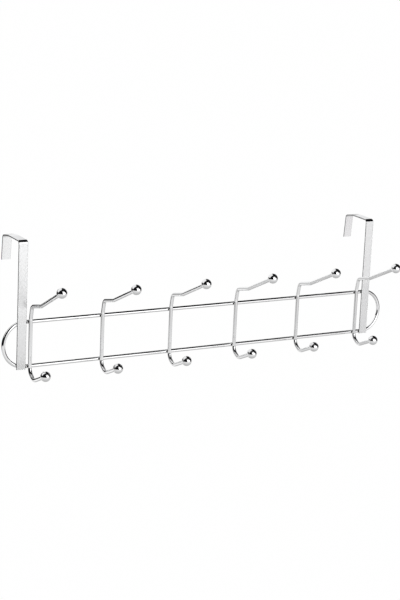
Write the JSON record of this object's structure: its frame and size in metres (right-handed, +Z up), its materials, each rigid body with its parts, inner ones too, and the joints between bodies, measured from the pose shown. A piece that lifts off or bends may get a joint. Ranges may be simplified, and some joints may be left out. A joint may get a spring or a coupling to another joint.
{
  "type": "over door hook rack",
  "caption": "Wire rack that hangs over the top of a door on two folded straps and holds a row of double hooks with ball ends.",
  "frame": {"origin": "midway between the two brackets, on the door's near face, level with the door's top edge", "axes": "+X along the rack to the right as seen from the hooks' side, +Y through the door to its far side, +Z up"},
  "size_m": [0.519, 0.1238, 0.157],
  "materials": {
    "frame_wire": "bright chrome plate on round steel wire",
    "hook_wire": "bright chrome plate on round steel wire",
    "strap": "bright chrome plate on flat steel strip",
    "ball": "bright chrome plate on a steel ball"
  },
  "bodies": {
    "root": {"door_bracket_left": "strap", "door_bracket_right": "strap", "frame_loop": "frame_wire", "hook_wire_1": "hook_wire", "hook_wire_2": "hook_wire", "hook_wire_3": "hook_wire", "hook_wire_4": "hook_wire", "hook_wire_5": "hook_wire", "hook_wire_6": "hook_wire", "lower_ball_1": "ball", "lower_ball_2": "ball", "lower_ball_3": "ball", "lower_ball_4": "ball", "lower_ball_5": "ball", "lower_ball_6": "ball", "upper_ball_1": "ball", "upper_ball_2": "ball", "upper_ball_3": "ball", "upper_ball_4": "ball", "upper_ball_5": "ball", "upper_ball_6": "ball"}
  },
  "joints": []
}
